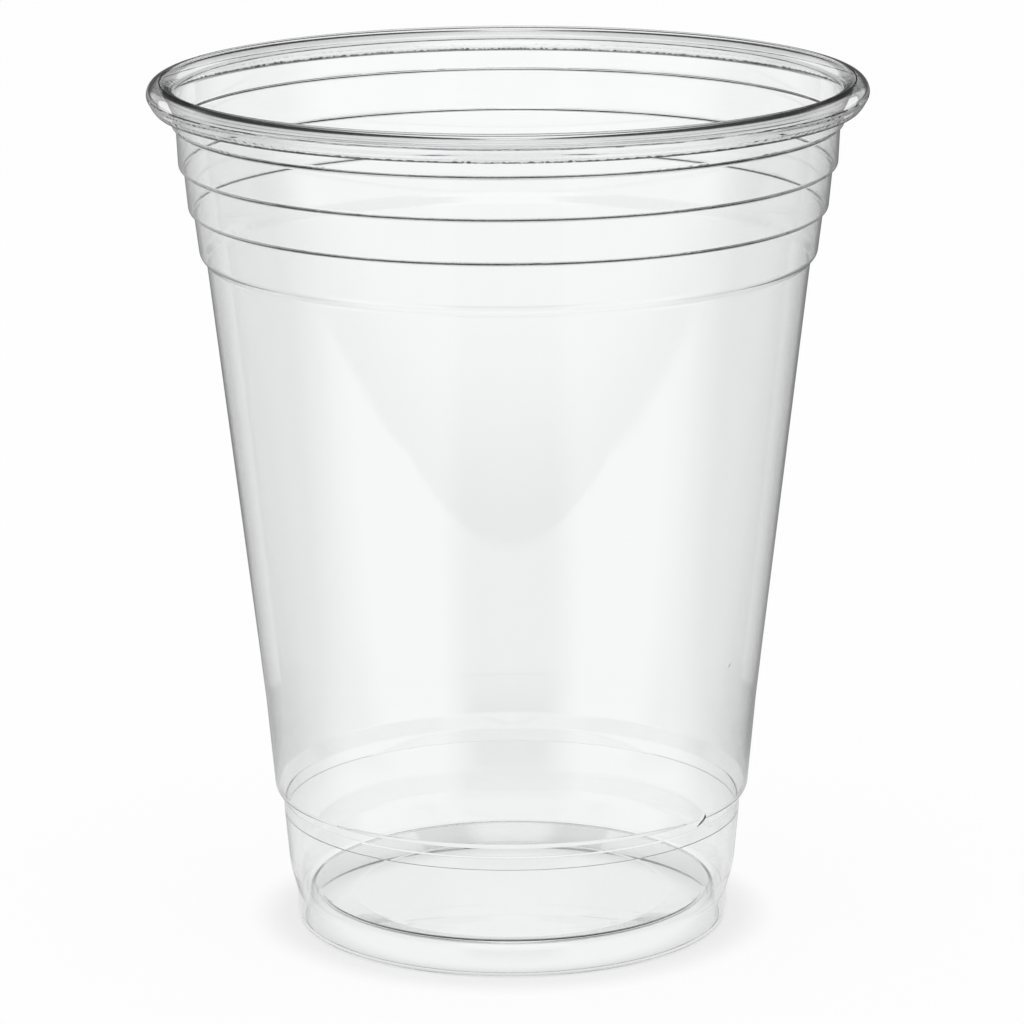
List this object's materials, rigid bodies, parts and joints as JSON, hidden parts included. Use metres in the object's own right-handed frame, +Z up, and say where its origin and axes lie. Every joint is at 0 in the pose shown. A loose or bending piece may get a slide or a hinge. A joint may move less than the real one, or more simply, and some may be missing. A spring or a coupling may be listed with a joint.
{
  "type": "clear plastic disposable cup",
  "caption": "Tapered clear plastic drinking cup with a rolled rim, stacking rings under it, a stepped foot and a raised floor.",
  "frame": {"origin": "centre of the ring that the cup stands on, at the lowest point", "axes": "+Z up along the cup's axis of turning, +X to the right and +Y away from the viewer"},
  "size_m": [0.098, 0.098, 0.1185],
  "materials": {
    "clear_sheet": "clear thin thermoformed plastic sheet, glossy on both sides"
  },
  "bodies": {
    "root": {"cup": "clear_sheet"}
  },
  "joints": []
}
